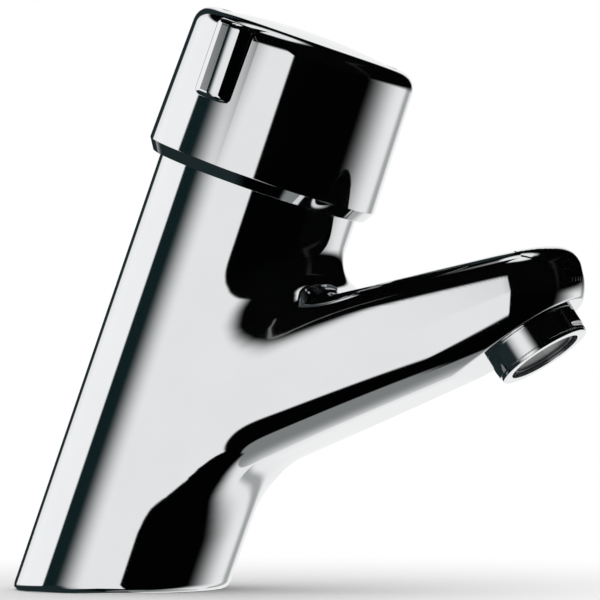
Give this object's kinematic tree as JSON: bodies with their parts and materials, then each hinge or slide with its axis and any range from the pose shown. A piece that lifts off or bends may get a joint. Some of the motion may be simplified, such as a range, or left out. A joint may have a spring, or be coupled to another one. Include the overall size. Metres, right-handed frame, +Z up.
{
  "type": "push timed basin tap",
  "caption": "Self-closing basin tap: a slanted round body with a flat tapering spout, a push knob that also turns to mix hot and cold, and an aerator outlet.",
  "frame": {"origin": "middle of the foot, on the deck surface the tap stands on", "axes": "+Z up from the deck, +X from the body towards the spout's outlet; the body leans 21 degrees from +Z towards +X"},
  "size_m": [0.1452, 0.0603, 0.1414],
  "materials": {
    "chrome_plate": "polished chrome plate over cast brass",
    "cartridge_brass": "turned, bare",
    "steel": "stainless, bright drawn",
    "seal_rubber": "matt black",
    "disc_ceramic": "lapped ceramic, off-white",
    "cartridge_plastic": "moulded acetal, white",
    "insert_plastic": "moulded, dark grey"
  },
  "bodies": {
    "tap_body": {"tap_casting": "chrome_plate", "inlet_block": "cartridge_brass", "foot_seal": "seal_rubber", "cold_inlet_filter": "steel", "hot_inlet_filter": "steel", "port_seal": "seal_rubber", "fixed_disc": "disc_ceramic", "cartridge_housing": "cartridge_brass", "chamber_seals": "seal_rubber", "ring_nut": "cartridge_brass", "limit_ring": "cartridge_plastic", "aerator_housing": "chrome_plate", "aerator_insert": "insert_plastic", "aerator_gasket": "seal_rubber"},
    "mixing_rotor": {"turning_disc": "disc_ceramic", "mixing_sleeve": "cartridge_brass", "sleeve_seal": "seal_rubber", "chamber_cap": "cartridge_brass"},
    "push_knob": {"knob_shell": "chrome_plate", "knob_cap": "chrome_plate", "knob_carrier": "cartridge_plastic", "knob_screw": "steel", "push_rod": "steel", "piston": "cartridge_plastic", "piston_lip_seal": "seal_rubber", "valve_head": "cartridge_brass", "valve_seal": "seal_rubber", "return_spring": "steel"}
  },
  "joints": [
    {"name": "temperature", "type": "hinge", "parent": "tap_body", "child": "mixing_rotor", "pos_m": [0, 0, 0], "axis": [0.3584, 0, 0.9336], "range_deg": [-55, 55]},
    {"name": "push", "type": "slide", "parent": "mixing_rotor", "child": "push_knob", "axis": [-0.3584, 0, -0.9336], "range_m": [0, 0.0045], "stiffness_N_per_m": 3000, "springref_m": -0.004, "deforming": ["return_spring"]}
  ]
}
